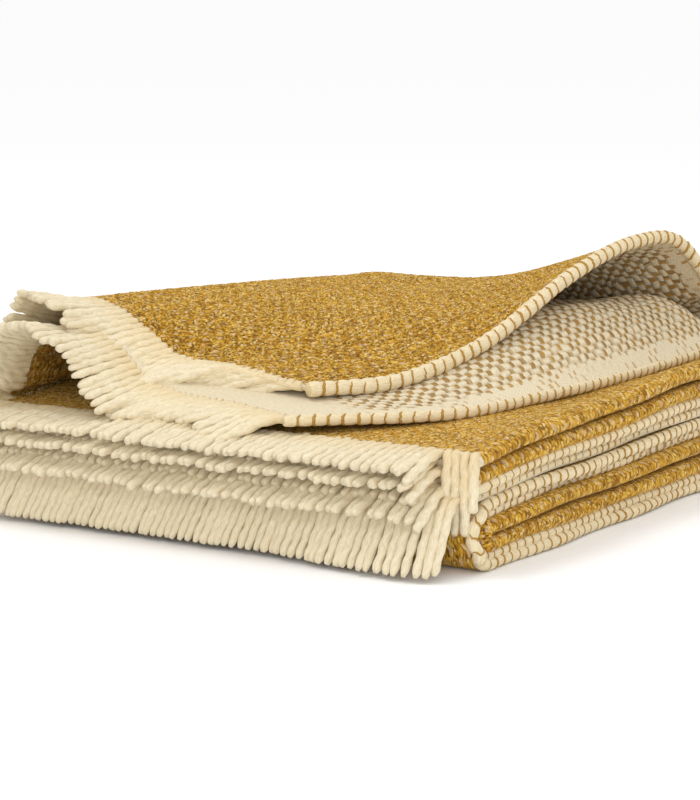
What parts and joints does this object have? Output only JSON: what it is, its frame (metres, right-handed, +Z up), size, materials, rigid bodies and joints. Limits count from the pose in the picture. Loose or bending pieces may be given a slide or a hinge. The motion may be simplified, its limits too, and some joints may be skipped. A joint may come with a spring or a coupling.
{
  "type": "folded throw blanket",
  "caption": "Woven wool throw folded into a flat pile, with corded selvedges along one side, cut yarn fringes in front, and loose top leaves whose corner turns back.",
  "frame": {"origin": "middle of the pile's footprint on the surface that it lies on", "axes": "+Z up, -Y out of the fringed front edge, +X out of the face of stacked selvedges and rolled folds"},
  "size_m": [0.3632, 0.5296, 0.1624],
  "materials": {
    "mustard_face": "matte tweed weave",
    "cream_face": "matte weave with small weft ticks",
    "selvedge": "matte corded yarn",
    "fringe": "matte twisted yarn"
  },
  "bodies": {
    "pile": {"far_fold_01_16": "mustard_face", "far_fold_02_15": "mustard_face", "far_fold_03_14": "mustard_face", "far_fold_04_13": "mustard_face", "far_fold_05_12": "mustard_face", "far_fold_06_11": "mustard_face", "far_fold_07_10": "mustard_face", "far_fold_08_09": "mustard_face", "fringe_03": "fringe", "fringe_04": "fringe", "fringe_05": "fringe", "fringe_06": "fringe", "fringe_07": "fringe", "fringe_08": "fringe", "front_fold_09_16": "mustard_face", "front_fold_10_15": "mustard_face", "front_fold_11_14": "mustard_face", "front_fold_12_13": "mustard_face", "leaf_03_04": "mustard_face", "leaf_05_06": "mustard_face", "leaf_07": "mustard_face", "leaf_08": "cream_face", "leaf_09": "mustard_face", "leaf_10": "cream_face", "leaf_11_12": "mustard_face", "leaf_13_14": "mustard_face", "leaf_15": "mustard_face", "leaf_16": "mustard_face", "second_leaf_fringe_held": "fringe", "second_leaf_held": "cream_face", "second_leaf_selvedge_held": "selvedge", "selvedge_07": "selvedge", "selvedge_08": "selvedge", "selvedge_09": "selvedge", "selvedge_10": "selvedge", "selvedge_15": "selvedge", "selvedge_16": "selvedge", "side_fold_01_04": "mustard_face", "side_fold_02_03": "mustard_face", "side_fold_05_08": "mustard_face", "side_fold_06_07": "mustard_face", "side_fold_09_12": "mustard_face", "side_fold_10_11": "mustard_face", "side_fold_13_16": "mustard_face", "side_fold_14_15": "mustard_face", "top_leaf_fringe_held": "fringe", "top_leaf_held": "mustard_face", "top_leaf_selvedge_held": "selvedge"},
    "top_corner": {"top_leaf_corner": "mustard_face", "top_leaf_fringe_corner": "fringe", "top_leaf_selvedge_corner": "selvedge"},
    "second_corner": {"second_leaf_corner": "cream_face", "second_leaf_fringe_corner": "fringe", "second_leaf_selvedge_corner": "selvedge"}
  },
  "joints": [
    {"name": "top_corner_turn", "type": "hinge", "parent": "pile", "child": "top_corner", "pos_m": [0.09865, -0.00101, 0.136], "axis": [-0.7334, -0.6797, 0.0095], "range_deg": [0, 110]},
    {"name": "second_corner_turn", "type": "hinge", "parent": "pile", "child": "second_corner", "pos_m": [0.09865, -0.00101, 0.136], "axis": [-0.7334, -0.6797, 0.0095], "range_deg": [0, 55]}
  ],
  "couplings": [
    {"joint": "second_corner_turn", "follows": "top_corner_turn", "ratio": 0.5}
  ]
}
